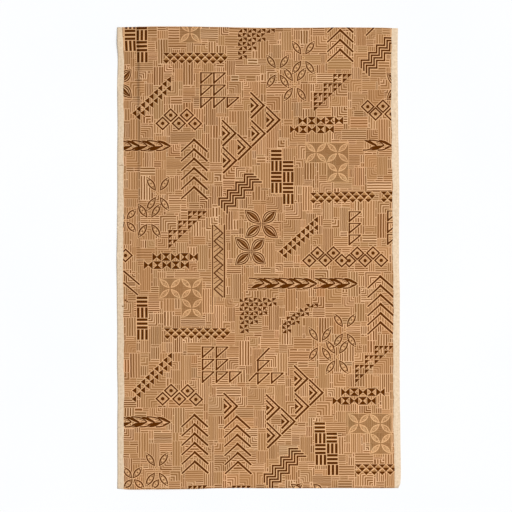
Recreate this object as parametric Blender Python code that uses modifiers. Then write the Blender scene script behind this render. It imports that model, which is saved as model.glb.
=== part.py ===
"""Lava lava: one length of printed cotton, cut straight from the loom width and laid flat, face up.

Metres, +Z up. X runs across the cloth, +Y towards its upper end. The origin is under the middle of
the cloth, on the surface that it lies on. The cloth is a single sheet with two uneven selvedges, two
cut ends, one soft crease near the left selvedge and three places where its rim stands off the surface.
"""

import math

import bmesh
import bpy

COLLECTION = "lava_lava"
MM = 0.001

# Sizes in millimetres.
WIDTH = 915.0  # selvedge to selvedge, a 36 inch loom width
LENGTH = 1500.0  # cut end to cut end
THICKNESS = 1.2  # the sheet that stands for thin plain-weave cotton
CORNER_CUT = 7.0  # the lower right corner is nipped off by this much

# How far each selvedge bows out past the straight line, by distance from the upper end.
SELVEDGES = [
    # from_top, left_out, right_out
    (0, 1.6, -5.1),
    (45, 2.0, -5.9),
    (90, -0.2, -6.4),
    (205, 1.9, -5.4),
    (320, 0.7, -4.4),
    (440, 1.9, -2.2),
    (535, 1.4, -0.6),
    (660, 2.0, -1.8),
    (770, 3.8, -1.6),
    (870, 3.0, 0.9),
    (985, 1.7, 0.4),
    (1080, 2.3, 0.1),
    (1200, 0.4, 0.8),
    (1300, 1.5, 2.5),
    (1450, 0.9, 4.1),
    (1500, 1.5, 3.0),
]

# How far each cut end bows out past the straight line, by distance from the left selvedge.
ENDS = [
    # from_left, upper_out, lower_out
    (0, -0.9, -1.0),
    (40, 0.3, 1.9),
    (120, 1.9, 1.1),
    (240, 1.8, 0.4),
    (330, 0.4, -2.3),
    (400, -1.1, -3.0),
    (470, -2.3, -2.2),
    (620, -2.0, -2.4),
    (720, -0.9, -3.0),
    (850, -1.6, -2.6),
    (915, -3.6, -3.2),
]

# The fold line left by storage: its height by distance from the upper end.
CREASE_FROM_LEFT = 73.5
CREASE_STEEP_SIDE = 8.0  # its run down towards the selvedge
CREASE_SLACK_SIDE = 15.0  # and towards the middle of the cloth
CREASE = [
    # from_top, height
    (0, 1.5),
    (45, 2.4),
    (390, 2.2),
    (585, 1.2),
    (760, 0.7),
    (900, 0.0),
]

# Where the rim stands off the surface: the point of the rim that is highest, how far in from the rim
# and how far along it the lift reaches, and its height.
LIFTS = [
    # from_left, from_top, reach_x, reach_y, height
    (0, 45, 30, 80, 3.2),
    (0, 700, 26, 190, 1.3),
    (130, 1500, 170, 34, 1.6),
    (150, 0, 150, 26, 1.0),
]

# The grid's stations: each stretch runs up to a distance, in steps of about the second number.
COLUMNS = [(30, 10), (64, 11), (90, 4.4), (875, 56), (WIDTH, 20)]
ROWS = [(36, 12), (1464, 38), (LENGTH, 12)]

CLOTH_COLOUR = (0.397, 0.214, 0.096, 1.0)
CLOTH_ROUGHNESS = 0.9


def stations(stretches):
    """Distances from one side to the other, evenly spaced inside each stretch."""
    at = [0.0]
    for end, step in stretches:
        count = max(1, round((end - at[-1]) / step))
        start = at[-1]
        at += [start + (end - start) * (k + 1) / count for k in range(count)]
    return at


def eased(table, column, where):
    """One column of a table at a distance, eased smoothly from each row to the next."""
    for low, high in zip(table, table[1:]):
        if where <= high[0]:
            share = max(0.0, (where - low[0]) / (high[0] - low[0]))
            share = share * share * (3 - 2 * share)
            return low[column] + (high[column] - low[column]) * share
    return table[-1][column]


def bump(distance, reach):
    """1 at the middle, falling to exactly 0 at the reach."""
    if abs(distance) >= reach:
        return 0.0
    return 0.5 + 0.5 * math.cos(math.pi * distance / reach)


def height(from_left, from_top):
    """The rise of the cloth's underside above the surface it lies on."""
    off = from_left - CREASE_FROM_LEFT
    side = CREASE_STEEP_SIDE if off < 0 else CREASE_SLACK_SIDE
    rise = eased(CREASE, 1, from_top) * bump(off, side)
    for left, top, reach_x, reach_y, high in LIFTS:
        lift = high * bump(from_left - left, reach_x) * bump(from_top - top, reach_y)
        rise = max(rise, lift)
    return rise


def outline_place(from_left, from_top):
    """Where a point of the straight cut lies once the selvedges and ends bow, centred, in millimetres."""
    left = -WIDTH / 2 - eased(SELVEDGES, 1, from_top)
    right = WIDTH / 2 + eased(SELVEDGES, 2, from_top)
    # Each bow fades out within a quarter of the cloth, so the middle keeps its straight stations.
    x = from_left - WIDTH / 2
    x += (left + WIDTH / 2) * bump(from_left, WIDTH / 4)
    x += (right - WIDTH / 2) * bump(WIDTH - from_left, WIDTH / 4)
    y = LENGTH / 2 - from_top
    y += eased(ENDS, 1, from_left) * bump(from_top, LENGTH / 6)
    y -= eased(ENDS, 2, from_left) * bump(LENGTH - from_top, LENGTH / 6)
    # The lower right corner is nipped.
    corner = max(0.0, 1 - math.hypot(WIDTH - from_left, LENGTH - from_top) / 16)
    return x - CORNER_CUT * corner, y


def cotton():
    material = bpy.data.materials.new("printed_cotton")
    material.use_nodes = True
    shader = material.node_tree.nodes["Principled BSDF"]
    shader.inputs["Base Color"].default_value = CLOTH_COLOUR
    shader.inputs["Roughness"].default_value = CLOTH_ROUGHNESS
    shader.inputs["Metallic"].default_value = 0.0
    material.diffuse_color = CLOTH_COLOUR
    return material


def sheet_mesh():
    """The underside of the cloth: a grid that takes the uneven outline, the crease and the lifts."""
    columns, rows = stations(COLUMNS), stations(ROWS)
    across, down = len(columns) - 1, len(rows) - 1
    bm = bmesh.new()
    bmesh.ops.create_grid(bm, x_segments=across, y_segments=down, size=1.0)
    for vert in bm.verts:
        from_left = columns[round((vert.co.x + 1) / 2 * across)]
        from_top = rows[round((1 - vert.co.y) / 2 * down)]
        x, y = outline_place(from_left, from_top)
        vert.co = (x * MM, y * MM, height(from_left, from_top) * MM)
    # The origin goes under the middle of the cloth's outline.
    xs, ys = [v.co.x for v in bm.verts], [v.co.y for v in bm.verts]
    middle = ((min(xs) + max(xs)) / 2, (min(ys) + max(ys)) / 2, 0.0)
    bmesh.ops.translate(bm, verts=bm.verts, vec=[-c for c in middle])
    mesh = bpy.data.meshes.new("lava_lava")
    bm.to_mesh(mesh)
    bm.free()
    return mesh


def main():
    for item in list(bpy.data.objects):
        bpy.data.objects.remove(item, do_unlink=True)
    parts = bpy.data.collections.new(COLLECTION)
    bpy.context.scene.collection.children.link(parts)

    cloth = bpy.data.objects.new("lava_lava", sheet_mesh())
    cloth.data.materials.append(cotton())
    cloth.data.shade_smooth()
    parts.objects.link(cloth)
    thick = cloth.modifiers.new("thickness", "SOLIDIFY")
    thick.thickness = THICKNESS * MM
    thick.offset = 1.0  # all of it above the underside
    thick.use_even_offset = True


main()
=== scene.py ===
import math
import random

import bpy
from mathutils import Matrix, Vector
from mathutils.geometry import delaunay_2d_cdt


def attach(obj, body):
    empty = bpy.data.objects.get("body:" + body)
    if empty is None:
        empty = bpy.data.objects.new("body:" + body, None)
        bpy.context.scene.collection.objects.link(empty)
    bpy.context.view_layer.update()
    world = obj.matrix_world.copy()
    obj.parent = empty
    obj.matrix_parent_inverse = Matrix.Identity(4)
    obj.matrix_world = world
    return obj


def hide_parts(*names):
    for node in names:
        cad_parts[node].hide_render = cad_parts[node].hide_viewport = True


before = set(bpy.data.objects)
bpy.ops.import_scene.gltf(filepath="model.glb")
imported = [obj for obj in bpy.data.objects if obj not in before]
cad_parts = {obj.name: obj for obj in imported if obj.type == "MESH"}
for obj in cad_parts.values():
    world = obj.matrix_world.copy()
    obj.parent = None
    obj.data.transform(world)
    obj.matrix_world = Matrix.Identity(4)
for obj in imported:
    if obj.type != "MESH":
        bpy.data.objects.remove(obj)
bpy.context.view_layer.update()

# ---------------------------------------------------------------------------------------------
# The length of cloth, as it is cut and as it lies.
# Plain-weave cotton off a 36 inch loom: both long edges are selvedges, both ends are cut straight
# across with no hem. It lies face up, with one storage crease and a rim that lifts in places.
# ---------------------------------------------------------------------------------------------
MM = 0.001
WIDTH = 915.0  # mm, selvedge to selvedge
LENGTH = 1500.0  # mm, cut end to cut end
SHEET = 0.8  # mm, the visible cloth's thickness
CORNER_CUT = 7.0  # mm, nipped off the lower right corner
CORNER_REACH = 16.0  # mm from that corner to where the nip ends

SELVEDGE_BOWS = [
    # from_top, left_out, right_out
    (0, 1.6, -5.1), (45, 2.0, -5.9), (90, -0.2, -6.4), (205, 1.9, -5.4), (320, 0.7, -4.4),
    (440, 1.9, -2.2), (535, 1.4, -0.6), (660, 2.0, -1.8), (770, 3.8, -1.6), (870, 3.0, 0.9),
    (985, 1.7, 0.4), (1080, 2.3, 0.1), (1200, 0.4, 0.8), (1300, 1.5, 2.5), (1450, 0.9, 4.1),
    (1500, 1.5, 3.0),
]
END_BOWS = [
    # from_left, upper_out, lower_out
    (0, -0.9, -1.0), (40, 0.3, 1.9), (120, 1.9, 1.1), (240, 1.8, 0.4), (330, 0.4, -2.3),
    (400, -1.1, -3.0), (470, -2.3, -2.2), (620, -2.0, -2.4), (720, -0.9, -3.0),
    (850, -1.6, -2.6), (915, -3.6, -3.2),
]

# The storage crease: its line, its run down to either side, and its height down the cloth.
CREASE_FROM_LEFT = 73.5
CREASE_STEEP_SIDE = 8.0
CREASE_SLACK_SIDE = 15.0
CREASE = [
    # from_top, height
    (0, 1.5), (45, 2.4), (390, 2.2), (585, 1.2), (760, 0.7), (900, 0.0),
]
LIFTS = [
    # places where the rim stands off the floor: from_left, from_top, reach_x, reach_y, height
    (0, 45, 30, 80, 3.2),
    (0, 700, 26, 190, 1.3),
    (130, 1500, 170, 34, 1.6),
    (150, 0, 150, 26, 1.0),
]


def eased(table, column, where):
    """One column of a table at a distance, eased smoothly from each row to the next."""
    for low, high in zip(table, table[1:]):
        if where <= high[0]:
            share = max(0.0, (where - low[0]) / (high[0] - low[0]))
            share = share * share * (3 - 2 * share)
            return low[column] + (high[column] - low[column]) * share
    return table[-1][column]


def bump(distance, reach):
    """1 at the middle, falling to exactly 0 at the reach."""
    if abs(distance) >= reach:
        return 0.0
    return 0.5 + 0.5 * math.cos(math.pi * distance / reach)


def height(from_left, from_top):
    """The rise of the cloth's underside above the surface it lies on."""
    off = from_left - CREASE_FROM_LEFT
    side = CREASE_STEEP_SIDE if off < 0 else CREASE_SLACK_SIDE
    rise = eased(CREASE, 1, from_top) * bump(off, side)
    for left, top, reach_x, reach_y, high in LIFTS:
        rise = max(rise, high * bump(from_left - left, reach_x) * bump(from_top - top, reach_y))
    return rise


def lie(from_left, from_top):
    """Where a point of the straight cut lies once the selvedges and ends bow, in millimetres."""
    x = from_left - WIDTH / 2
    x -= eased(SELVEDGE_BOWS, 1, from_top) * bump(from_left, WIDTH / 4)
    x += eased(SELVEDGE_BOWS, 2, from_top) * bump(WIDTH - from_left, WIDTH / 4)
    y = LENGTH / 2 - from_top
    y += eased(END_BOWS, 1, from_left) * bump(from_top, LENGTH / 6)
    y -= eased(END_BOWS, 2, from_left) * bump(LENGTH - from_top, LENGTH / 6)
    corner = math.hypot(WIDTH - from_left, LENGTH - from_top) / CORNER_REACH
    return x - CORNER_CUT * max(0.0, 1 - corner), y


# ---------------------------------------------------------------------------------------------
# The print's fine ground.
# Blocks of thin straight lines, like a woven mat, screened in a mid brown over the whole length
# between the selvedges. Each block runs its own way and keeps a pale line round it.
# ---------------------------------------------------------------------------------------------
PRINT_LEFT, PRINT_RIGHT = 14.0, 897.0  # mm from the left; the selvedges lie over both ends
CELL = 6.8  # mm; the blocks are set out on a grid of this pitch
CELL_JOG = 0.14  # share of a cell by which the grid's lines wander
BLOCK_SHAPES = [
    # lines run, cells across, cells down, how often tried
    ("down", 5, 12, 120), ("across", 12, 5, 120), ("corner", 8, 8, 160), ("down", 5, 9, 400),
    ("across", 9, 5, 400), ("corner", 7, 7, 700), ("corner", 6, 6, 900), ("down", 4, 7, 1200),
    ("across", 7, 4, 1200), ("corner", 5, 5, 1600), ("down", 4, 6, 3000), ("across", 6, 4, 3000),
    ("corner", 4, 4, 3000), ("down", 3, 5, 5000), ("across", 5, 3, 5000), ("down", 3, 4, 4000),
    ("across", 4, 3, 4000),
]
draw = random.Random(23)
across = round((PRINT_RIGHT - PRINT_LEFT) / CELL)
down = round(LENGTH / CELL)


def uneven(start, end, count):
    """The grid's lines from start to end, none quite where an even step would put it."""
    step = (end - start) / count
    inner = [start + step * (k + draw.uniform(-CELL_JOG, CELL_JOG)) for k in range(1, count)]
    return [start] + inner + [end]


columns = uneven(PRINT_LEFT, PRINT_RIGHT, across)
rows = uneven(0.0, LENGTH, down)
taken = [[False] * across for _ in range(down)]
ground_blocks = []  # left, top, right, bottom, how the lines run


def lay_block(run, column, row, wide, tall):
    """Takes the cells for one block if they are all free, and says whether it did."""
    if column + wide > across or row + tall > down:
        return False
    cells = [(r, c) for r in range(row, row + tall) for c in range(column, column + wide)]
    if any(taken[r][c] for r, c in cells):
        return False
    for r, c in cells:
        taken[r][c] = True
    ground_blocks.append(
        (columns[column], rows[row], columns[column + wide], rows[row + tall], run))
    return True


for run, wide, tall, tries in BLOCK_SHAPES:
    for _ in range(tries):
        lay_block(run, draw.randrange(across), draw.randrange(down), wide, tall)
# What is left over is filled with the largest small block that fits.
SMALL_BLOCKS = [(4, 2), (2, 4), (3, 2), (2, 3), (2, 2), (1, 4), (4, 1), (1, 2), (2, 1), (1, 1)]
for row in range(down):
    for column in range(across):
        if not taken[row][column]:
            for wide, tall in SMALL_BLOCKS:
                run = "across" if wide > tall or wide == tall and draw.random() < 0.5 else "down"
                if lay_block(run, column, row, wide, tall):
                    break

# ---------------------------------------------------------------------------------------------
# The print's figures.
# Rows of old bark-cloth ornament, screened in dark brown over the ground: woven bars, teeth,
# diamonds, arrowheads, leaves, flowers and stepped lines, each with a thin pale edge round it.
# Every figure is drawn by rule at its real size; the tables say where on the cloth it is set.
# ---------------------------------------------------------------------------------------------
PALE_EDGE = 2.3  # mm of unprinted cloth round each dark shape
INK_SPREAD = 1.0  # mm that the ink creeps along the threads past its stencil
MITRE = 1.7  # a sharp corner moves out by no more than this many times what its sides do
figures = []  # tone, corners in millimetres from the left and from the top, pale edge


def grown(corners, by):
    """The same shape with every side moved out by a distance."""
    turn = sum(a[0] * b[1] - b[0] * a[1] for a, b in zip(corners, corners[1:] + corners[:1]))
    by = by if turn > 0 else -by
    moved = []
    for before, here, after in zip(corners[-1:] + corners[:-1], corners, corners[1:] + corners[:1]):
        into = Vector((here[0] - before[0], here[1] - before[1])).normalized()
        out = Vector((after[0] - here[0], after[1] - here[1])).normalized()
        side = Vector((into.y + out.y, -into.x - out.x))
        reach = by * min(2 / max(side.length_squared, 1e-6), MITRE)
        moved.append((here[0] + side.x * reach, here[1] + side.y * reach))
    return moved


def ink(tone, corners, edge=PALE_EDGE):
    """Prints one filled shape, with a pale edge round it unless edge is 0."""
    corners = [tuple(c) for c in corners]
    if tone == "dark":
        corners = grown(corners, INK_SPREAD)
    figures.append((tone, corners, edge))


def box(tone, left, top, right, bottom, edge=PALE_EDGE):
    ink(tone, [(left, top), (right, top), (right, bottom), (left, bottom)], edge)


def line(tone, start, end, wide, wide_end=None, edge=PALE_EDGE):
    """A straight line that may taper, with its ends run on by half its width."""
    start, end = Vector(start), Vector(end)
    along = (end - start).normalized()
    side = Vector((-along.y, along.x))
    wide_end = wide if wide_end is None else wide_end
    start, end = start - along * wide / 2, end + along * wide_end / 2
    ink(tone, [start + side * wide / 2, end + side * wide_end / 2,
               end - side * wide_end / 2, start - side * wide / 2], edge)


def path(tone, points, wide, edge=PALE_EDGE):
    for start, end in zip(points, points[1:]):
        line(tone, start, end, wide, edge=edge)


PETAL_STEPS = 7


def petal(root, tip, wide):
    """The corners of a pointed leaf between two points."""
    root, tip = Vector(root), Vector(tip)
    along = tip - root
    side = Vector((-along.y, along.x)).normalized() * wide / 2
    shares = [k / PETAL_STEPS for k in range(1, PETAL_STEPS)]
    upper = [root + along * u + side * math.sin(math.pi * u) for u in shares]
    lower = [root + along * u - side * math.sin(math.pi * u) for u in reversed(shares)]
    return [root] + upper + [tip] + lower


def dot(x, y, half_x, half_y, sides, turn=0.0):
    """The corners of a small round spot; turn is how far its first corner is on, in corners."""
    angles = [2 * math.pi * (k + turn) / sides for k in range(sides)]
    return [(x + half_x * math.cos(a), y + half_y * math.sin(a)) for a in angles]


# Woven bars: blocks of three bars, across and down by turns.
WOVEN_COLUMNS = [
    # from_left, from_top, first block runs down, blocks, lean
    (498.5, 399.5, 0, 4, 0), (536.8, 435.6, 0, 4, 0), (25.2, -26, 1, 3, 0), (62.6, -23.8, 0, 4, 0),
    (64.4, 875.9, 0, 4, 0), (639.5, 1284.6, 0, 4, 0.03), (678.5, 1318.1, 0, 4, 0.03),
]
BAR_THICK, BAR_BLOCK = 6.2, 35.6  # mm: each bar, and from one block to the next
LYING_LONG, LYING_PITCH = 32.6, 12.7
UPRIGHT_LONG, UPRIGHT_PITCH, UPRIGHT_IN = 31.6, 13.1, 0.7
for left, top, first, blocks, lean in WOVEN_COLUMNS:
    for k in range(blocks):
        x, y = left + lean * k * BAR_BLOCK, top + k * BAR_BLOCK
        for n in range(3):
            if (k + first) % 2:
                at = x + UPRIGHT_IN + n * UPRIGHT_PITCH
                box("dark", at, y, at + BAR_THICK, y + UPRIGHT_LONG)
            else:
                at = y + n * LYING_PITCH
                box("dark", x, at, x + LYING_LONG, at + BAR_THICK)

# Teeth: three rows of triangles that point down, the middle row set half a tooth over. The cloth
# that shows between the teeth of the two lower rows is shaded.
TOOTH_ROWS = [
    # from_left of the first tip, from_top, pitch, teeth, middle row's shift, slope
    (157.5, 85, 25.3, 8, 12.3, 0), (161.1, 978.3, 25.9, 8, 12.7, 0),
    (635, 538.3, 25.6, 8, 11.9, -0.022), (864.9, 534, 23.7, 2, 11.4, 0),
    (779.5, 1422.2, 25.3, 5, 12, 0),
]
TOOTH_HALF, SHADE_HALF, SHADE_SHORT, SHADE_EDGE = 10.4, 9.4, 2.0, 2.2
TOOTH_LINES = [(0.0, 9.8, 0), (11.0, 11.4, 1), (23.6, 10.2, 0)]  # top, depth, shifted
for left, top, pitch, teeth, shift, slope in TOOTH_ROWS:
    for drop, depth, shifted in TOOTH_LINES:
        for k in range(teeth):
            x = left + k * pitch + shifted * shift
            y = top + drop + slope * (x - left)
            ink("dark", [(x - TOOTH_HALF, y), (x + TOOTH_HALF, y), (x, y + depth)])
            if drop:
                ink("shade", [(x - SHADE_HALF, y), (x, y - depth + SHADE_SHORT),
                              (x + SHADE_HALF, y)], SHADE_EDGE)

# Ladders: triangles with an upright right side, stepping down to the left.
LADDERS = [
    # from_left of the upright side, from_top of its middle, step across, step down, count
    (172.4, 171.4, -13.9, 13.5, 9), (172.4, 199.5, -14.1, 13.2, 8), (649.9, 625.7, -14.2, 12.9, 9),
    (649.9, 651.4, -14.4, 12.9, 8), (176, 1067.4, -14.4, 14.1, 9), (175.7, 1093.4, -14.5, 14.3, 9),
]
RUNG_HALF, RUNG_WIDE = 9.5, 12.8
for left, top, step_x, step_y, count in LADDERS:
    for k in range(count):
        x, y = left + k * step_x, top + k * step_y
        ink("dark", [(x, y - RUNG_HALF), (x, y + RUNG_HALF), (x - RUNG_WIDE, y)])

# Flags: outlined half squares in columns.
FLAGS = [
    # from_left, from_top, pitch down, count
    (268, 147.5, 39.6, 3), (310.3, 147.2, 39.6, 3), (353.8, 226.6, 39, 1), (273.3, 1037.6, 40.2, 3),
    (318.4, 1037.6, 40.2, 3), (361.8, 1118, 39, 1), (453.1, 1081.2, 41, 2),
    (497.9, 1121.8, 39, 1), (750.2, 598.4, 37.7, 3), (876.2, 595.8, 38, 3),
]
FLAG_WIDE, FLAG_GAP = 39.0, 5.5
MAST_LINE, TOP_LINE, SLANT_LINE = 3.6, 3.8, (2.8, 3.6)
for left, top, pitch, count in FLAGS:
    for k in range(count):
        y = top + k * pitch
        foot = y + pitch - FLAG_GAP
        line("dark", (left + 1.9, y + 2), (left + 1.9, foot), MAST_LINE)
        line("rust", (left + 3, y + 1.5), (left + FLAG_WIDE, y + 1.5), TOP_LINE)
        line("dark", (left + FLAG_WIDE - 1, y + 2.5), (left + 2, foot), *SLANT_LINE)

# Diamonds, each with a dot.
DIAMONDS = [
    # from_left, from_top; where two overlap, the later one lies on top
    (751.9, 758.3), (172, 286.1), (224.2, 286.1), (146, 312.7), (198.2, 312.7), (250.8, 313.4),
    (173.2, 1180.5), (226.8, 1181.4), (145.9, 1206.8), (199.8, 1207.4), (253.7, 1209.1),
    (648.3, 733.9), (700.3, 733.6), (778.2, 734.6), (830.1, 733.6), (622, 758.3), (674, 757.6),
    (727.4, 758.3), (804.1, 758.3), (856.7, 757.6), (28.6, 741.7), (814.7, 258.4),
    (865.6, 257.1), (840.6, 281.8), (892.4, 282.4),
]
DIAMOND_HALF, DIAMOND_TALL, DIAMOND_LINE, DIAMOND_RIM = 22.8, 21.8, 4.1, 1.6
DIAMOND_DOT, DOT_EDGE = 5.0, 1.6
for x, y in DIAMONDS:
    corners = [(x, y - DIAMOND_TALL), (x + DIAMOND_HALF, y), (x, y + DIAMOND_TALL),
               (x - DIAMOND_HALF, y)]
    ink("dark", corners)
    ink("pale", grown(corners, -DIAMOND_LINE), 0)
    ink("plain", grown(corners, -DIAMOND_LINE - DIAMOND_RIM), 0)
    ink("dark", dot(x, y, DIAMOND_DOT, DIAMOND_DOT, 8, 0.5), DOT_EDGE)

# Leaves in rows, one pair to an arrow: by turns the upper or the lower leaf is solid, and the
# other is drawn with two thin lines.
LEAF_ROWS = [
    # from_left of the first tip, from_top of the axis, pitch, pairs, first solid leaf
    (45.7, 385.8, 24.9, 6, 1), (474.4, 832.7, 24.4, 8, 1), (680.1, 832.7, 24.1, 5, 0),
    (842.2, 384.2, 24.5, 3, 0), (44.4, 1282.8, 25, 6, 1),
]
SOLID_LEAVES = [  # the upper one, then the lower one, as corners back from the tip
    [(1.2, 1), (0.6, -1.6), (-8.6, -7.4), (-18.6, -13.2), (-31.5, -16.8), (-44, -18),
     (-34.4, -13.2), (-24.4, -7.8), (-14.4, -2.6), (-5.6, 0)],
    [(1.4, -1.2), (0.8, 0.8), (-8.1, 6), (-16.9, 10.7), (-24.4, 13.8), (-33, 15.7), (-46.5, 16),
     (-39, 13.2), (-33.8, 8.2), (-27, 3.6), (-20, 1.5), (-8.1, 0.9)],
]
THIN_LEAVES = [  # the outer line of each, then its inner one
    [[(0, -0.8), (-5.6, -6.5), (-11.9, -11.2), (-23, -14.8), (-35.6, -16.6), (-47.5, -17.3)],
     [(-8.5, -3.8), (-15.6, -7), (-24.4, -10)]],
    [[(0, 0.8), (-6.9, 5.3), (-14.4, 9), (-21.9, 12.5), (-31.9, 14.8), (-43, 15.4)],
     [(-8.5, 2.6), (-13, 4.9), (-21, 8.2)]],
]
THIN_LINES = (4.5, 2.2)
SOLID_EDGE, THIN_EDGE = 1.8, 1.6
for left, top, pitch, pairs, first in LEAF_ROWS:
    for k in range(pairs):
        x, solid = left + k * pitch, (first + k) % 2
        ink("dark", [(x + px, top + py) for px, py in SOLID_LEAVES[solid]], SOLID_EDGE)
        for wide, points in zip(THIN_LINES, THIN_LEAVES[1 - solid]):
            path("rust", [(x + px, top + py) for px, py in points], wide, THIN_EDGE)

# Chevrons: the left arm thin, the right arm thick.
CHEVRONS = [
    # from_left of the tip, from_top, pitch, count, lean
    (248.2, 365.7, 30.7, 6, 0), (723, -22.9, 31.7, 4, 0), (853.3, 809.3, 29.9, 6, 0),
    (249.5, 1259.4, 30.2, 6, 0.008), (387, 1264.7, 29.9, 6, 0.026),
]
CHEVRON_HALF, CHEVRON_DROP = 41.0, 37.5
THIN_ARM, THICK_ARM = (4.0, 3.0), (5.6, 4.4)  # width at the tip and at the end
for left, top, pitch, count, lean in CHEVRONS:
    for k in range(count):
        x, y = left + lean * k * pitch, top + k * pitch
        line("dark", (x, y), (x - CHEVRON_HALF, y + CHEVRON_DROP), *THIN_ARM)
        line("dark", (x - 0.5, y), (x + CHEVRON_HALF, y + CHEVRON_DROP), *THICK_ARM)

# Arrowheads, one inside the other, pointing right.
ARROWHEADS = [
    # from_left of the tip, from_top
    (474.4, 254.5), (525.4, 301.3), (477.6, 345.9), (382.4, 344.9), (432.2, 390.4), (384.4, 433),
    (616.4, 1141.8), (665.2, 1187.3), (618.7, 1232.1), (525.4, 1236), (574.2, 1281),
    (527.7, 1326.9), (387.6, 1231.2),
]
ARROW_DEEP, ARROW_UPPER, ARROW_LOWER = 43.0, 3.8, 4.9
ARROW_SIZES = [(42.0, ARROW_DEEP), (23.5, 23.0)]  # half height, depth
HEART_HALF, HEART_DEEP = 9.5, 11.0
for x, y in ARROWHEADS:
    back = x - ARROW_DEEP
    for half, deep in ARROW_SIZES:
        line("dark", (back + 1, y - half + 1), (back + deep, y), ARROW_UPPER)
        line("dark", (back + deep, y), (back + 3, y + half - 3), ARROW_LOWER)
    ink("dark", [(back, y - HEART_HALF), (back + HEART_DEEP, y), (back, y + HEART_HALF)])

# Stepped lines, four side by side.
STEPPED_LINES = [
    # from_left, from_top, first rise, step across, step up, steps
    (328.8, 577.9, 22.1, 27.6, 26, 4), (793.4, 131.1, 24.4, 26, 24.7, 5),
    (476, 1479.4, 25.7, 26.9, 27.9, 4),
]
STEP_LINES, STEP_APART, STEP_THICK = 4, (8.8, 8.4), 3.6  # apart to the right, and down
for left, top, rise, run, up, steps in STEPPED_LINES:
    for n in range(STEP_LINES):
        x, y = left + n * STEP_APART[0], top + n * STEP_APART[1]
        points = [(x, y), (x, y - rise)]
        for k in range(steps):
            x, y = points[-1]
            points += [(x + run, y), (x + run, y - up)]
        path("dark", points[:-1], STEP_THICK)

# Dark flowers: four leaf-shaped petals, each with a pale ring inside its rim, a shaded heart and
# a dark vein. The ones at the cloth's sides are cut off by the selvedges.
DARK_FLOWERS = [
    # middle, then the tip of each petal
    ((466.3, 640), (411.5, 593), (516, 593.5), (413.3, 685.5), (520.2, 685.5)),
    ((432.2, 729), (380.2, 681.6), (476.7, 684.5), (380.2, 773.6), (480.9, 770.6)),
    ((3.5, 182.6), (45.3, 137), (47.3, 231.1)),
    ((931.8, 193.7), (877.7, 146.4), (877.1, 237)),
]
PETAL_RINGS = [
    # tone, how far in from both ends as a share of the petal, width, pale edge
    ("rust", 0.0, 36.0, 2.2), ("pale", 0.065, 27.2, 0), ("rust", 0.1, 22.2, 0),
    ("pale", 0.165, 14.2, 0),
]
VEIN_FROM, VEIN_SHORT, VEIN_WIDE = 0.16, 0.15, 4.8
for middle, *tips in DARK_FLOWERS:
    for tip in tips:
        root, tip = Vector(middle).lerp(Vector(tip), 0.01), Vector(tip)
        reach = tip - root
        for tone, end, wide, edge in PETAL_RINGS:
            leaf = petal(root + reach * end, tip - reach * end, wide)
            ink(tone, leaf, edge)
        # Only one half of the heart is shaded.
        ink("heart", leaf[:len(leaf) // 2 + 1], 0)
        ink("dark", petal(root + reach * VEIN_FROM, tip - reach * VEIN_SHORT, VEIN_WIDE), 0)

# Light flowers: four thin outlined petals round a small spot.
LIGHT_FLOWERS = [
    # from_left, from_top of the middle
    (519.2, 142.8), (575.1, 185.6), (602.5, 97.8), (130.8, 541.8), (103.4, 628.9),
    (656.4, 1029.3), (737.3, 984.5), (712.3, 1071.3), (127.4, 1435.3),
]
LONE_PETALS = [
    # the petals of flowers at the cloth's rim: root from_left, from_top, tip from_left, from_top
    (30, 624, 61.5, 590.5), (30, 631, 61.5, 667.5), (25, 624, -6, 590), (25, 631, -6, 667),
    (48.5, 1464, 79.5, 1426.5), (47.5, 1464, 17, 1426), (49.5, 1466, 20.5, 1497),
    (52.5, 1466, 88.5, 1499), (134.8, 1467, 112.6, 1498.4),
    (562.5, 1512.7, 600.8, 1484.1), (561.2, 1484.7, 603.1, 1516), (634.6, 1485.5, 666.5, 1513),
]
PETAL_ROOT, PETAL_TIP, PETAL_WIDE = (6.2, 9.6), (37.0, 56.0), 21.4
PETAL_EDGE, LEAF_ENDS, LEAF_WIDE = 1.8, (0.12, 0.88), 12.2
RIB_MARKS = (0.27, 0.5, 0.72)  # where along the petal they start, as shares of its length
DARK_MARK, PALE_MARK = (0.0, 0.05, 2.7), (0.11, 0.15, 3.6)  # from and to, past its share; width
EYE, EYE_EDGE = 3.4, 1.6  # mm: half the width of the spot in a flower's middle, and its edge


def light_petal(root, tip):
    """A thin outline, a plain leaf inside it, and a rib broken into dark and pale marks."""
    root, tip = Vector(root), Vector(tip)
    ink("rust", petal(root, tip, PETAL_WIDE), PETAL_EDGE)
    ink("plain", petal(*(root.lerp(tip, share) for share in LEAF_ENDS), LEAF_WIDE), 0)
    for share in RIB_MARKS:
        for tone, (begin, end, wide) in (("rust", DARK_MARK), ("pale", PALE_MARK)):
            line(tone, root.lerp(tip, share + begin), root.lerp(tip, share + end), wide, edge=0)


for x, y in LIGHT_FLOWERS:
    for way_x in (-1, 1):
        for way_y in (-1, 1):
            light_petal((x + way_x * PETAL_ROOT[0], y + way_y * PETAL_ROOT[1]),
                        (x + way_x * PETAL_TIP[0], y + way_y * PETAL_TIP[1]))
    ink("shade", dot(x, y, EYE, EYE, 6), EYE_EDGE)

for root_x, root_y, tip_x, tip_y in LONE_PETALS:
    light_petal((root_x, root_y), (tip_x, tip_y))

# Stairs of small triangles.
STAIRS = [
    # from_left, from_top of the first triangle
    (700.3, 151.8), (228.4, 597.7), (834.3, 1035.2), (229.7, 1488.8), (372, 1492),
]
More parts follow.
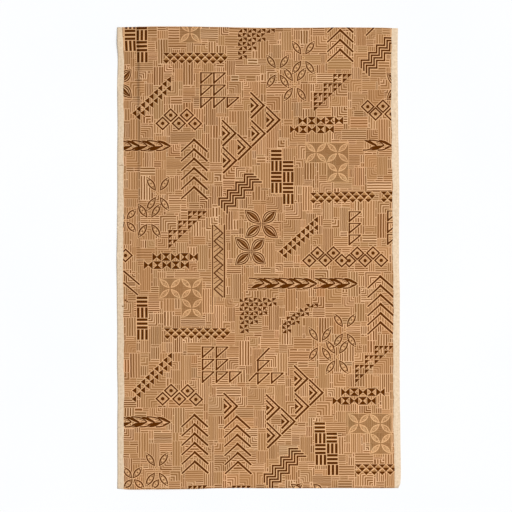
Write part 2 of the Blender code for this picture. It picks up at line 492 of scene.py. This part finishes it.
# One stair is three of these groups, each two cells down and two to the left of the last.
STAIR_CELLS = [(0, 0), (1, 0), (2, 0), (3, 0), (0, 1), (2, 1), (0, 2), (1, 2), (0, 3)]
STAIR_PITCH, STAIR_SHAPE, STAIR_EDGE = (15.8, 15.4), (14.2, 13.2), 1.8
for left, top in STAIRS:
    cells = sorted({(c - 2 * n, r + 2 * n) for n in range(3) for c, r in STAIR_CELLS})
    for c, r in cells:
        x, y = left + c * STAIR_PITCH[0], top + r * STAIR_PITCH[1]
        ink("dark", [(x, y), (x + STAIR_SHAPE[0], y), (x, y + STAIR_SHAPE[1])], STAIR_EDGE)

# Hourglasses, lying and standing by turns.
HOURGLASS_ROWS = [
    # from_left, from_top of the first middle, pitch, count
    (128.1, 746.3, 29.6, 5), (101.3, 772.9, 29.1, 5), (600.2, 303.9, 29.6, 5),
    (572.9, 332.2, 28.8, 5), (739.2, 1185.3, 28.3, 5), (711.3, 1213.6, 28, 5),
]
GLASS_WIDE, GLASS_TALL = 13.4, 12.2
for left, top, pitch, count in HOURGLASS_ROWS:
    for k in range(count):
        x, y = left + k * pitch, top
        for way in (-1, 1):
            if k % 2:
                ink("dark", [(x, y), (x - GLASS_WIDE, y + way * GLASS_TALL),
                             (x + GLASS_WIDE, y + way * GLASS_TALL)])
            else:
                ink("dark", [(x, y), (x + way * GLASS_WIDE, y - GLASS_TALL),
                             (x + way * GLASS_WIDE, y + GLASS_TALL)])

# Squares with four pale petals on a darker field. The thin pale rim goes first under them all.
PETAL_SQUARES = [
    # left, top, right, bottom
    (609.9, 375.8, 678.5, 439.5), (678.5, 375.8, 749.4, 439.5), (680.1, 439.5, 748.2, 502.8),
    (135.7, 816.1, 205, 881.5), (205, 816.1, 274.2, 881.5), (207, 881.5, 274.2, 944.2),
    (747.7, 1255.5, 815.2, 1319.4), (815.2, 1255.5, 885.7, 1319.4), (817.6, 1319.4, 884.8, 1387.6),
    (201.8, -13.7, 267.1, 51.8),
]
SQUARE_RIM, OUTER_PETAL, INNER_PETAL = 1.6, 16.6, 11.4
for left, top, right, bottom in PETAL_SQUARES:
    box("pale", left - SQUARE_RIM, top - SQUARE_RIM, right + SQUARE_RIM, bottom + SQUARE_RIM, 0)
for left, top, right, bottom in PETAL_SQUARES:
    box("field", left, top, right, bottom, 0)
    middle = Vector(((left + right) / 2, (top + bottom) / 2))
    for corner in ((left, top), (right, top), (left, bottom), (right, bottom)):
        root, tip = middle.lerp(Vector(corner), 0.05), middle.lerp(Vector(corner), 0.97)
        ink("pale", petal(root, tip, OUTER_PETAL), 0)
        ink("speckled", petal(root.lerp(tip, 0.1), root.lerp(tip, 0.92), INNER_PETAL), 0)

# Pinwheels: small half squares that turn round a pale cross, four to a wheel.
PINWHEELS = [
    # from_left, from_top, triangles in each row, first row is a lower one
    (390.9, 3.8, (8, 6, 6, 4, 4, 2, 2), 1), (396.4, 879.8, (8, 8, 6, 6, 4, 4, 2, 2), 0),
]
STARS = [
    # single wheels: from_left, from_top of the middle, which of the four vanes are printed
    (548.2, 980.6, (0, 1, 2, 3)), (548.2, 953.8, (1, 2, 3)), (576.3, 953, (0, 1, 2, 3)),
    (577.1, 926.4, (2, 3)), (606.4, 925.3, (0, 1, 2, 3)), (608.6, 897.9, (3,)),
    (636.1, 896.9, (2, 3)),
]
WHEEL_PITCH, WHEEL_SHAPE, WHEEL_EDGE = (15.1, 14.5), (12.9, 12.1), 1.4


def vane(x, y, turn):
    """One half square; turn says which of the four corners is its right angle."""
    wide, tall = WHEEL_SHAPE
    corners = [(x, y), (x + wide, y), (x + wide, y + tall), (x, y + tall)]
    ink("dark", [corners[turn - 1], corners[turn], corners[(turn + 1) % 4]], WHEEL_EDGE)


UPPER_VANES, LOWER_VANES = (3, 0), (2, 1)  # their right angles, left and right of the middle
for left, top, counts, first in PINWHEELS:
    for row, count in enumerate(counts):
        vanes = (UPPER_VANES, LOWER_VANES)[(row + first) % 2]
        for k in range(count):
            vane(left + k * WHEEL_PITCH[0], top + row * WHEEL_PITCH[1], vanes[k % 2])
for x, y, printed_vanes in STARS:
    for k in printed_vanes:
        left = x + (k % 2 - 0.5) * WHEEL_PITCH[0] - WHEEL_SHAPE[0] / 2
        top = y + (k // 2 - 0.5) * WHEEL_PITCH[1] - WHEEL_SHAPE[1] / 2
        vane(left, top, (UPPER_VANES + LOWER_VANES)[k])

# The braid: a zigzag between two upright lines, its corners hatched.
BRAID_LEFT, BRAID_TOP, BRAID_RIGHT, BRAID_BOTTOM = 307.4, 643.2, 346.7, 876.6
BRAID_TAIL = 50.0  # mm that the left upright runs on below the braid, thinner
BRAID_BENDS, BRAID_IN, ZIGZAG_LINE, HATCH_LINE = 9, 5.8, 2.2, 2.4
box("plain", BRAID_LEFT, BRAID_TOP, BRAID_RIGHT, BRAID_BOTTOM, 0)
line("rust", (BRAID_LEFT, BRAID_TOP), (BRAID_LEFT, BRAID_BOTTOM + BRAID_TAIL), 4.4, 2.6)
line("rust", (BRAID_RIGHT, BRAID_TOP), (BRAID_RIGHT, BRAID_BOTTOM), 4.6)
bend = (BRAID_BOTTOM - BRAID_TOP) / BRAID_BENDS
for k in range(BRAID_BENDS):
    here, there = BRAID_LEFT + BRAID_IN, BRAID_RIGHT - BRAID_IN
    if k % 2:
        here, there = there, here
    top = BRAID_TOP + k * bend
    line("dark", (here, top), (there, top + bend), ZIGZAG_LINE, edge=1.4)
    # Two short lines fill the corner above every arm but the first.
    for share in (0.34, 0.66):
        if k:
            line("rust", (here + (there - here) * share, top - bend * share + 3),
                 (there, top + bend * (1 - 2 * share)), HATCH_LINE, edge=0)

# Single slanting lines, all that is printed of their figures.
SLANTS = [
    # from_left, from_top, to_left, to_top
    (24, 793.4, 71.6, 835), (23.6, 831.7, 66.3, 868.5), (833.6, 1.7, 810.3, 24.7),
    (491, 1043.6, 453, 1082), (449.7, 1124.6, 427, 1148.3),
]
for left, top, to_left, to_top in SLANTS:
    line("dark", (left, top), (to_left, to_top), *THIN_ARM)

# ---------------------------------------------------------------------------------------------
# The cloth itself.
# One sheet, cut into faces along the edges of its print so that every shape of ink is a face of
# its own colour, then laid with its bows, crease and lifted rim, and given the cloth's thickness.
# ---------------------------------------------------------------------------------------------


def linear(text):
    """An sRGB hex colour as the linear colour Blender works in, with full cover."""
    parts = [int(text[k:k + 2], 16) / 255 for k in (1, 3, 5)]
    return [c / 12.92 if c <= 0.04045 else ((c + 0.055) / 1.055) ** 2.4 for c in parts] + [1.0]


INKS = {
    # tone: colour, how much it covers the ground, how speckled it is
    "ground": ("#a67b51", 0.0, 0.0),
    "pale": ("#d6a87a", 0.9, 0.0),
    "plain": ("#bc9166", 0.7, 0.0),
    "speckled": ("#b98f65", 0.9, 1.0),
    "shade": ("#976a3e", 0.9, 0.0),
    "field": ("#916a44", 0.85, 0.45),
    "heart": ("#8d5f35", 0.95, 0.0),
    "rust": ("#562c08", 1.0, 0.0),
    "dark": ("#522804", 1.0, 0.0),
    "selvedge": ("#dcc4a8", 1.0, 0.0),
    "stain": ("#8a6a4a", 1.0, 0.0),
}
# What the cutter reads: points, and closed loops of them with what each one stands for. Where
# loops lie over one another, the last one says what a face is.
spots, loops, owners = [], [], []


def cut(corners, owner):
    """One closed shape for the cutter, turned the way it reads shapes, with what it stands for."""
    start = len(spots)
    turn = sum(a[0] * b[1] - b[0] * a[1] for a, b in zip(corners, corners[1:] + corners[:1]))
    spots.extend(Vector(c[:2]) for c in (corners if turn > 0 else corners[::-1]))
    loops.append(list(range(start, len(spots))))
    owners.append(owner)


def stations(start, end, step):
    """Distances from start to end, in even steps of about the one asked for."""
    count = max(1, round((end - start) / step))
    return [start + (end - start) * k / count for k in range(count + 1)]


RIM_STEP = 14.0  # mm
sides = stations(0, LENGTH, RIM_STEP)
ends = stations(0, WIDTH, RIM_STEP)[1:-1]
rim = ([(0, y) for y in sides] + [(x, LENGTH) for x in ends]
       + [(WIDTH, y) for y in reversed(sides)] + [(x, 0) for x in reversed(ends)])
cut(rim, ("cloth", 0))
for k, (left, top, right, bottom, _) in enumerate(ground_blocks):
    cut([(left, top), (right, top), (right, bottom), (left, bottom)], ("block", k))
# All the pale edges lie under all the ink.
for _, corners, edge in figures:
    if edge:
        cut(grown(corners, edge), ("ink", "pale"))
for tone, corners, _ in figures:
    cut(corners, ("ink", tone))
# The selvedges lie over the print's two sides, and the line between wobbles as the ink bled.
SELVEDGE_WIDTHS = [
    # from_top, left, right
    (0, 15.5, 20.3), (50, 18.9, 20.4), (130, 20.2, 20.5), (245, 20.2, 22.4), (335, 20.2, 21.5),
    (420, 20.2, 22.4), (575, 20.2, 21.8), (675, 20.3, 20.5), (750, 20.5, 21.1),
    (810, 20.6, 19.8), (950, 20.8, 20.8), (1080, 21.8, 20.8), (1180, 21.1, 20.8),
    (1300, 20.5, 21.9), (1375, 20.5, 21.5), (1450, 20.5, 19.5), (1500, 20.5, 20.0),
]
SELVEDGE_STEP, OVERRUN, OUTSIDE = 9.0, 1.0, 5.0  # mm; how far past the ends and the sides it is cut
for column, side, way in ((1, 0.0, 1), (2, WIDTH, -1)):
    inner = []
    for y in stations(-OVERRUN, LENGTH + OVERRUN, SELVEDGE_STEP):
        wobble = 0.7 * math.sin(y / 23 + column) + 0.5 * math.sin(y / 9.1 + 2 * column)
        inner.append((side + way * (eased(SELVEDGE_WIDTHS, column, y) + wobble), y))
    outer = side - way * OUTSIDE
    cut([(outer, -OVERRUN)] + inner + [(outer, LENGTH + OVERRUN)], ("ink", "selvedge"))

# One thin dark hair across the left selvedge, two brown specks beside it, and a few small ones.
STAINS = [
    # from_left, from_top, half width, half height, tone
    (12.5, 448.9, 9.0, 0.9, "stain"), (14.5, 447.4, 4.0, 0.7, "stain"), (27, 887, 3.0, 3.4, "rust"),
    (33, 891, 2.6, 3.0, "rust"), (18.5, 906.8, 3.4, 2.4, "stain"), (15.5, 716, 1.4, 1.4, "stain"),
    (13, 777, 1.3, 1.5, "stain"), (12, 52, 1.0, 1.0, "stain"), (11.5, 1130, 1.1, 1.1, "stain"),
]
for x, y, half_x, half_y, tone in STAINS:
    cut(dot(x, y, half_x, half_y, 6), ("ink", tone))

LOOSE_POINTS = [
    # so that what bends has small faces: left, right, step across, top, bottom, step down
    (62, 92, 3, 4, 900, 9),  # the crease
    (5, 30, 6.5, 4, LENGTH - 4, 13),  # the left side
    (34, 300, 13, 6, 27, 7),  # the upper end
    (34, 300, 13, LENGTH - 27, LENGTH - 6, 7),  # the lower end
]
for left, right, step_x, top, bottom, step_y in LOOSE_POINTS:
    spots.extend(Vector((x, y)) for x in stations(left, right, step_x)
                 for y in stations(top, bottom, step_y))

WELD = 0.02  # mm within which two points of the cut are one
TRIANGLES_INSIDE = 1  # the cutter's setting: keep what is inside a loop, as triangles
flat_spots, _, faces, _, _, inside = delaunay_2d_cdt(
    spots, [], loops, TRIANGLES_INSIDE, WELD, True)

# The rim is the first loop, and only what lies inside it is cloth.
kept = [(face, shapes) for face, shapes in zip(faces, inside) if 0 in shapes]
number, used = {}, []
for face, _ in kept:
    for v in face:
        if v not in number:
            number[v] = len(used)
            used.append(flat_spots[v])

points = []
for spot in used:
    x, y = lie(spot.x, spot.y)
    points.append((x, y, height(spot.x, spot.y) + SHEET))
xs, ys = [p[0] for p in points], [p[1] for p in points]
middle_x, middle_y = (min(xs) + max(xs)) / 2, (min(ys) + max(ys)) / 2
mesh = bpy.data.meshes.new("lava_lava_cloth")
mesh.from_pydata([((x - middle_x) * MM, (y - middle_y) * MM, z * MM) for x, y, z in points], [],
                 [[number[v] for v in face] for face, _ in kept])
if mesh.polygons[0].normal.z < 0:
    mesh.flip_normals()
mesh.shade_smooth()


def keep(name, kind, domain, field, values):
    """Stores one value per face or point on the cloth for its material to read."""
    mesh.attributes.new(name, kind, domain).data.foreach_set(field, values)


keep("flat_mm", "FLOAT_VECTOR", "POINT", "vector", [c for s in used for c in (s.x, s.y, 0.0)])


def block_dye():
    """How one block's dye took: a little darker or lighter, and now and then pinker or yellower."""
    value, pink = draw.uniform(0.94, 1.06), draw.gauss(0, 0.5)
    return value * (1 + 0.025 * pink), value * (1 - 0.015 * pink), value * (1 - 0.03 * pink)


# What each block hands to its faces: two opposite corners, each with one more value, the pitch
# and the contrast of its lines; which way they run and the inked share; the dye; the pale rim.
LINE_PITCH = 7.2  # mm from one ground line to the next
PITCH_SPREAD, CONTRAST, INKED, BLOCK_RIM = (0.85, 1.2), (0.38, 0.95), (0.5, 0.66), (0.04, 0.26)
block_values = []
for left, top, right, bottom, run in ground_blocks:
    wide, tall = right - left, bottom - top
    measure = {"across": tall, "down": wide, "corner": min(wide, tall)}[run]
    lines = max(1, round(measure / (LINE_PITCH * draw.uniform(*PITCH_SPREAD))))
    here, there = [left, top], [right, bottom]
    if run == "corner":
        for axis in (0, 1):
            if draw.random() < 0.5:
                here[axis], there[axis] = there[axis], here[axis]
    block_values.append((
        (*here, measure / lines), (*there, draw.uniform(*CONTRAST)),
        (float(run != "across"), float(run != "down"), draw.uniform(*INKED)),
        block_dye(), (draw.uniform(*BLOCK_RIM),)))

FACE_VALUES = [
    # name, kind, field
    ("ink", "FLOAT_COLOR", "color"), ("speckle", "FLOAT", "value"),
    ("block_start", "FLOAT_VECTOR", "vector"), ("block_end", "FLOAT_VECTOR", "vector"),
    ("block_run", "FLOAT_VECTOR", "vector"), ("dye", "FLOAT_VECTOR", "vector"),
    ("block_rim", "FLOAT", "value"),
]
ink_values = {tone: (linear(colour)[:3] + [cover], [speckle])
              for tone, (colour, cover, speckle) in INKS.items()}
face_values, material_at = [], []
for _, shapes in kept:
    found = {"ink": "ground", "block": 0}
    for shape in sorted(shapes):
        kind, what = owners[shape]
        found[kind] = what
    face_values.append(ink_values[found["ink"]] + block_values[found["block"]])
    material_at.append(int(found["ink"] == "selvedge"))
for (name, kind, field), values in zip(FACE_VALUES, zip(*face_values)):
    keep(name, kind, "FACE", field, [part for value in values for part in value])
mesh.polygons.foreach_set("material_index", material_at)

cloth = bpy.data.objects.new("lava_lava_cloth", mesh)
bpy.context.scene.collection.objects.link(cloth)
thickness = cloth.modifiers.new("thickness", "SOLIDIFY")
thickness.thickness = SHEET * MM
thickness.offset = -1.0  # all of it below the printed face
thickness.material_offset = 2  # each face's back takes the material two slots on


def add(tree, kind, *values, **named):
    """Adds one node and gives its first output. The values go into its inputs in order; a name with
    a capital is one more input, and any other name is a setting."""
    node = tree.nodes.new("ShaderNode" + kind)
    for name, value in list(enumerate(values)) + list(named.items()):
        if isinstance(name, str) and name.islower():
            setattr(node, name, value)
        elif isinstance(value, bpy.types.NodeSocket):
            tree.links.new(value, node.inputs[name])
        else:
            node.inputs[name].default_value = value
    return node.outputs[0]


def cotton(name):
    """A cotton shader with no colour yet, and the place on the flat cloth that its nodes read."""
    material = bpy.data.materials.new(name)
    material.use_nodes = True
    tree = material.node_tree
    shader = tree.nodes["Principled BSDF"]
    shader.inputs["Roughness"].default_value = 0.95
    shader.inputs["IOR"].default_value = 1.45
    shader.inputs["Specular IOR Level"].default_value = 0.02  # washed cotton has no gloss
    flat = add(tree, "Attribute", attribute_name="flat_mm").node.outputs["Vector"]
    return material, tree, shader, flat


THREAD_TURN = 3.93  # radians to the mm, which is a thread in 1.6 mm
SLUB_THICK, SLUB_LONG = 0.35, 0.02  # to the mm: slubs about 3 mm thick and 50 mm long


def thread_bump(tree, shader, flat, strength):
    """Warp and weft. Real threads are 0.4 mm apart; these are 1.6 mm apart, so that they show."""
    turned = add(tree, "VectorMath", flat, (THREAD_TURN, THREAD_TURN, 0), operation="MULTIPLY")
    wave = add(tree, "VectorMath", turned, operation="SINE")
    wave_x, wave_y, _ = add(tree, "SeparateXYZ", wave).node.outputs
    weave = add(tree, "Math", wave_x, wave_y, operation="MULTIPLY")
    # Slubs are thicker stretches of a thread, so they run along it.
    slubs = []
    for stretch in ((SLUB_THICK, SLUB_LONG, 0), (SLUB_LONG, SLUB_THICK, 0)):
        stretched = add(tree, "VectorMath", flat, stretch, operation="MULTIPLY")
        slubs.append(add(tree, "TexNoise", stretched, Scale=1.0, Detail=2.0))
    slubs = add(tree, "Math", *slubs, operation="ADD")
    level = add(tree, "Math", weave, 0.35, slubs, operation="MULTIPLY_ADD")
    bumps = add(tree, "Bump", Strength=strength, Distance=0.0004, Height=level)
    tree.links.new(bumps, shader.inputs["Normal"])
    return slubs


# Screen-printed cotton: matt, the ink sunk in the threads, a little uneven from the squeegee.
face, tree, shader, flat = cotton("screen_printed_cotton")
slubs = thread_bump(tree, shader, flat, 0.35)
# The ground's lines aren't ruled: they wander by up to 0.9 mm within some 20 mm.
wander = add(tree, "TexNoise", flat, Scale=0.045, Detail=1.0).node.outputs["Color"]
wander = add(tree, "VectorMath", wander, (0.5, 0.5, 0.5), operation="SUBTRACT")
wander = add(tree, "VectorMath", wander, (1.8, 1.8, 0.0), operation="MULTIPLY")
here = add(tree, "VectorMath", flat, wander, operation="ADD")
start = add(tree, "Attribute", attribute_name="block_start").node.outputs["Vector"]
end = add(tree, "Attribute", attribute_name="block_end").node.outputs["Vector"]
run = add(tree, "Attribute", attribute_name="block_run").node.outputs["Vector"]
dye = add(tree, "Attribute", attribute_name="dye").node.outputs["Vector"]
speckle = add(tree, "Attribute", attribute_name="speckle").node.outputs["Fac"]
block_rim = add(tree, "Attribute", attribute_name="block_rim").node.outputs["Fac"]
pitch = add(tree, "SeparateXYZ", start).node.outputs[2]
contrast = add(tree, "SeparateXYZ", end).node.outputs[2]
duty = add(tree, "SeparateXYZ", run).node.outputs[2]

# How far a point is from two corners of its block, across and down.
near, far = (add(tree, "VectorMath", add(tree, "VectorMath", here, corner, operation="SUBTRACT"),
                 operation="ABSOLUTE") for corner in (start, end))

# The ground's lines: counted off from one corner, inked for a share of each pitch. EDGE_STEEP is
# how fast a line's edge turns from bare to inked, over its pitch.
EDGE_STEEP = 9.0
along = add(tree, "VectorMath", near, run, operation="MULTIPLY")
along_x, along_y, _ = add(tree, "SeparateXYZ", along).node.outputs
count = add(tree, "Math", along_x, along_y, operation="MAXIMUM")
count = add(tree, "Math", count, pitch, operation="DIVIDE")
off_line = add(tree, "Math", count, operation="FRACT")
off_line = add(tree, "Math", off_line, 0.5, operation="SUBTRACT")
off_line = add(tree, "Math", off_line, operation="ABSOLUTE")
inked = add(tree, "Math", duty, 0.5, operation="MULTIPLY")
inked = add(tree, "Math", inked, off_line, operation="SUBTRACT")
inked = add(tree, "Math", inked, EDGE_STEEP, 0.5, operation="MULTIPLY_ADD", use_clamp=True)

# The pale rim that each block keeps.
least = add(tree, "VectorMath", near, far, operation="MINIMUM")
least_x, least_y, _ = add(tree, "SeparateXYZ", least).node.outputs
margin = add(tree, "Math", least_x, least_y, operation="MINIMUM")
margin = add(tree, "Math", margin, pitch, operation="DIVIDE")
margin = add(tree, "Math", margin, block_rim, operation="SUBTRACT")
margin = add(tree, "Math", margin, EDGE_STEEP, 0.5, operation="MULTIPLY_ADD", use_clamp=True)
lines = add(tree, "Math", inked, margin, operation="MULTIPLY")

# No two lines take the ink alike: each has 0.5 to 1.2 times its block's contrast.
which = add(tree, "Math", count, 2.0, 0.5, operation="MULTIPLY_ADD")
which = add(tree, "Math", which, operation="FLOOR")
which = add(tree, "CombineXYZ", Z=which)
chance = add(tree, "VectorMath", start, which, operation="ADD")
chance = add(tree, "TexWhiteNoise", chance).node.outputs["Value"]
chance = add(tree, "Math", chance, 0.7, 0.5, operation="MULTIPLY_ADD")
contrast = add(tree, "Math", contrast, chance, operation="MULTIPLY")

LINE_LIGHT, LINE_DARK, LINE_MEAN = "#ddb189", "#6e4219", "#a67a4f"
drawn = add(tree, "MixRGB", lines, linear(LINE_LIGHT), linear(LINE_DARK))
ground = add(tree, "MixRGB", contrast, linear(LINE_MEAN), drawn)
ink_colour, _, _, cover = add(tree, "Attribute", attribute_name="ink").node.outputs
printed = add(tree, "MixRGB", cover, ground, ink_colour)

# Brown dots in the speckled petals, about 4 mm apart.
DOTS_TO_MM, DOT_REACH, DOT_STEEP, DOT_COVER = 0.27, 0.48, 4.5, 0.9
dots = add(tree, "TexVoronoi", flat, Scale=DOTS_TO_MM)
dots = add(tree, "Math", DOT_REACH, dots, operation="SUBTRACT")
dots = add(tree, "Math", dots, DOT_STEEP, operation="MULTIPLY", use_clamp=True)
dots = add(tree, "Math", dots, speckle, operation="MULTIPLY")
dots = add(tree, "Math", dots, DOT_COVER, operation="MULTIPLY")
printed = add(tree, "MixRGB", dots, printed, linear("#7d4e24"))

# Painted light: the cloth's colour is painted darker at its upper left and lighter towards its
# lower right, as if it were lit more strongly there. It is also blotched over some 80 mm, grained
# over some 4 mm, and streaked by its slubs.
PAINTED_LIGHT_LEAST, PAINTED_LIGHT_ACROSS, PAINTED_LIGHT_DOWN = 0.93, 0.10, 0.09
cloth_x, cloth_y, _ = add(tree, "SeparateXYZ", flat).node.outputs
# The painted light: darkest at the upper left, lightest at the lower right.
tone_and_painted_light = add(tree, "Math", cloth_x, PAINTED_LIGHT_ACROSS / WIDTH, PAINTED_LIGHT_LEAST, operation="MULTIPLY_ADD")
tone_and_painted_light = add(tree, "Math", cloth_y, PAINTED_LIGHT_DOWN / LENGTH, tone_and_painted_light, operation="MULTIPLY_ADD")
blotch = add(tree, "TexNoise", flat, Scale=0.012, Detail=2.0)
grain = add(tree, "TexNoise", flat, Scale=0.28, Detail=2.0)
for source, share in ((blotch, 0.12), (grain, 0.24), (slubs, 0.05)):
    wave = add(tree, "Math", source, share, 1 - share * 0.5, operation="MULTIPLY_ADD")
    tone_and_painted_light = add(tree, "Math", wave, tone_and_painted_light, operation="MULTIPLY")

# Painted shade: a soft dark line is painted down the storage crease's steep side, where the crease
# is in shade. The line drifts to the right on its way down and is gone, 700 mm after it starts to
# pale, at 910 mm from the top.
CREASE_SHADE_HALF, CREASE_SHADE_DRIFT, CREASE_SHADE_FADE, CREASE_SHADE_SHARE = 7.0, 0.008, 700.0, 0.36
off_crease = add(tree, "Math", cloth_y, -CREASE_SHADE_DRIFT, cloth_x, operation="MULTIPLY_ADD")
off_crease = add(tree, "Math", off_crease, CREASE_FROM_LEFT - CREASE_SHADE_HALF, operation="SUBTRACT")
off_crease = add(tree, "Math", off_crease, operation="ABSOLUTE")
crease_shade = add(tree, "Math", off_crease, -1 / CREASE_SHADE_HALF, 1.0, operation="MULTIPLY_ADD",
             use_clamp=True)
crease_fade = add(tree, "Math", cloth_y, -1 / CREASE_SHADE_FADE, 1.3, operation="MULTIPLY_ADD",
                  use_clamp=True)
crease_shade = add(tree, "Math", crease_shade, crease_fade, operation="MULTIPLY")
crease_shade = add(tree, "Math", crease_shade, -CREASE_SHADE_SHARE, 1.0, operation="MULTIPLY_ADD")
# The painted crease shade darkens the cloth's colour here.
tone_and_painted_light = add(tree, "Math", crease_shade, tone_and_painted_light, operation="MULTIPLY")
printed = add(tree, "VectorMath", printed, dye, operation="MULTIPLY")
printed = add(tree, "VectorMath", printed, operation="SCALE", Scale=tone_and_painted_light)
tree.links.new(printed, shader.inputs["Base Color"])

# Unprinted cotton selvedge: cream and closely woven, with the row of fine holes from the pins
# that hold cloth to its width. Those are 4 mm apart, and every third is drawn, so that they show.
HOLES_IN, HOLE_PITCH, HOLE_SHARE = 9.5, 12.0, 0.26
edge, tree, shader, flat = cotton("bare_cotton_selvedge")
thread_bump(tree, shader, flat, 0.45)
side_x, side_y, _ = add(tree, "SeparateXYZ", flat).node.outputs
from_side = add(tree, "Math", WIDTH, side_x, operation="SUBTRACT")
from_side = add(tree, "Math", side_x, from_side, operation="MINIMUM")
off_holes = add(tree, "Math", from_side, HOLES_IN, operation="SUBTRACT")
off_holes = add(tree, "Math", off_holes, operation="ABSOLUTE")
hole_row = add(tree, "Math", off_holes, -0.8, 1.2, operation="MULTIPLY_ADD", use_clamp=True)
holes = add(tree, "Math", side_y, 2 * math.pi / HOLE_PITCH, operation="MULTIPLY")
holes = add(tree, "Math", holes, operation="SINE")
holes = add(tree, "Math", holes, 0.5, 0.5, operation="MULTIPLY_ADD")
holes = add(tree, "Math", holes, hole_row, operation="MULTIPLY")
holes = add(tree, "Math", holes, HOLE_SHARE, operation="MULTIPLY")
# Handling has mottled the cream over some 8 mm. Painted light: the cream is painted paler towards
# the right, as if lit more strongly on that side.
mottle = add(tree, "TexNoise", flat, Scale=0.13, Detail=4.0)
cream = add(tree, "MixRGB", mottle, linear("#bca283"), linear("#eed9be"))
cream = add(tree, "MixRGB", holes, cream, linear("#8f8478"))
painted_light_across = add(tree, "Math", side_x, 0.08 / WIDTH, 0.95, operation="MULTIPLY_ADD")
cream = add(tree, "VectorMath", cream, operation="SCALE", Scale=painted_light_across)
tree.links.new(cream, shader.inputs["Base Color"])

# The unprinted back of the cloth: the inks show through, paler and softer.
back, tree, shader, flat = cotton("cotton_back_showing_through")
thread_bump(tree, shader, flat, 0.45)
ink_colour, _, _, cover = add(tree, "Attribute", attribute_name="ink").node.outputs
through = add(tree, "MixRGB", cover, linear("#b98c60"), ink_colour)
through = add(tree, "MixRGB", 0.62, through, linear("#d9b995"))
softer = add(tree, "TexNoise", flat, Scale=0.05, Detail=3.0)
softer = add(tree, "Math", softer, 0.14, 0.93, operation="MULTIPLY_ADD")
through = add(tree, "VectorMath", through, operation="SCALE", Scale=softer)
tree.links.new(through, shader.inputs["Base Color"])

# The two that the faces take, then the two that their backs take in turn.
for material in (face, edge, back, edge):
    mesh.materials.append(material)

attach(cloth, "root")
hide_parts("lava_lava")

# ---------------------------------------------------------------------------------------------
# The floor, the light and the camera.
# A plain white painted board under a large soft light from the upper right, seen from straight
# above.
# ---------------------------------------------------------------------------------------------
scene = bpy.context.scene
scene.view_settings.view_transform = "Standard"
scene.view_settings.look = "None"

FLOOR_WIDE = 12.0  # metres, well past what the camera sees
bpy.ops.mesh.primitive_plane_add(size=FLOOR_WIDE, location=(0, 0, 0))
floor = bpy.context.object
floor.name = "floor"
board = bpy.data.materials.new("white_painted_board")
board.use_nodes = True
tree = board.node_tree
shader = tree.nodes["Principled BSDF"]
shader.inputs["Roughness"].default_value = 0.9
shader.inputs["Specular IOR Level"].default_value = 0.1
where = add(tree, "TexCoord").node.outputs["Object"]
tooth = add(tree, "TexNoise", where, Scale=2.0, Detail=2.0)
white = add(tree, "MixRGB", tooth, linear("#e9ebee"), linear("#eeeeee"))
tree.links.new(white, shader.inputs["Base Color"])
floor.data.materials.append(board)

world = bpy.data.worlds.new("studio")
scene.world = world
world.use_nodes = True
glow = world.node_tree.nodes["Background"]
glow.inputs["Color"].default_value = (1.0, 1.0, 1.0, 1.0)
glow.inputs["Strength"].default_value = 0.71

LIGHT_FALLS = (-0.75, -0.35, -0.9)  # to the left, down the cloth and onto it
sun = bpy.data.lights.new("window", "SUN")
sun.energy = 2.0
sun.angle = math.radians(24)
window = bpy.data.objects.new("window", sun)
window.rotation_euler = Vector(LIGHT_FALLS).to_track_quat("-Z", "Y").to_euler()
scene.collection.objects.link(window)

CAMERA_OFF_X, CAMERA_OFF_Y, CAMERA_HIGH = -0.00878, 0.00666, 3.4  # metres from the cloth's middle
lens = bpy.data.cameras.new("camera")
lens.sensor_width = 36.0
lens.lens = 73.6  # mm
camera = bpy.data.objects.new("camera", lens)
camera.location = (CAMERA_OFF_X, CAMERA_OFF_Y, CAMERA_HIGH)
scene.collection.objects.link(camera)
scene.camera = camera
